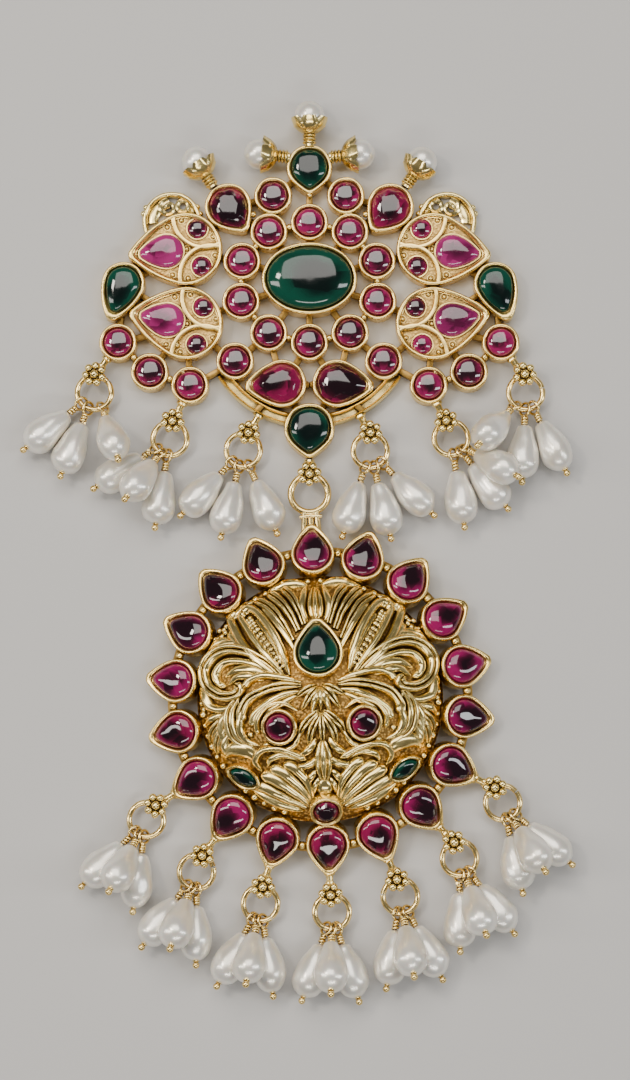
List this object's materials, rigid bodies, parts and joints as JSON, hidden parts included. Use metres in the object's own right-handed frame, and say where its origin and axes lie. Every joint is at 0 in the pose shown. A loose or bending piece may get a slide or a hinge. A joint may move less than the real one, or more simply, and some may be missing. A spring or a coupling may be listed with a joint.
{
  "type": "jadanagam braid ornament",
  "caption": "Stone-set plaque with pearl drops along its lower edge, linked to a domed round pendant ringed by pear stones and pearl drops, for wear down a braid.",
  "frame": {"origin": "centre of the plaque's flat back, under the centre stone", "axes": "+Z out of the front of the stones, +Y towards the plaque's upper edge, +X to the viewer's right"},
  "size_m": [0.0889, 0.1452, 0.0125],
  "materials": {
    "gold": "satin",
    "ruby": "polished",
    "emerald": "polished",
    "pearl": "lustrous"
  },
  "bodies": {
    "root": {"centre_emerald": "emerald", "top_emerald": "emerald", "bottom_emerald": "emerald", "side_emerald_left": "emerald", "side_emerald_right": "emerald", "dome_emerald": "emerald", "marquise_emerald_left": "emerald", "marquise_emerald_right": "emerald", "upper_ruby_left": "ruby", "upper_ruby_right": "ruby", "lower_ruby_left": "ruby", "lower_ruby_right": "ruby", "leaf_ruby_upper_left": "ruby", "leaf_ruby_upper_right": "ruby", "leaf_ruby_lower_left": "ruby", "leaf_ruby_lower_right": "ruby", "round_rubies": "ruby", "seed_rubies": "ruby", "petal_ruby_1": "ruby", "petal_ruby_2": "ruby", "petal_ruby_3": "ruby", "petal_ruby_4": "ruby", "petal_ruby_5": "ruby", "petal_ruby_6": "ruby", "petal_ruby_7": "ruby", "petal_ruby_8": "ruby", "petal_ruby_9": "ruby", "petal_ruby_10": "ruby", "petal_ruby_11": "ruby", "petal_ruby_12": "ruby", "petal_ruby_13": "ruby", "petal_ruby_14": "ruby", "petal_ruby_15": "ruby", "petal_ruby_16": "ruby", "petal_ruby_17": "ruby", "petal_ruby_18": "ruby", "dome_ruby_left": "ruby", "dome_ruby_right": "ruby", "low_ruby": "ruby", "plaque_setting": "gold", "pendant_setting": "gold", "plaque_jump_rings": "gold", "pendant_jump_rings": "gold", "plaque_drop_wires": "gold", "pendant_drop_wires": "gold", "stud_pearls": "pearl", "plaque_pearls": "pearl", "pendant_pearls": "pearl"}
  },
  "joints": []
}
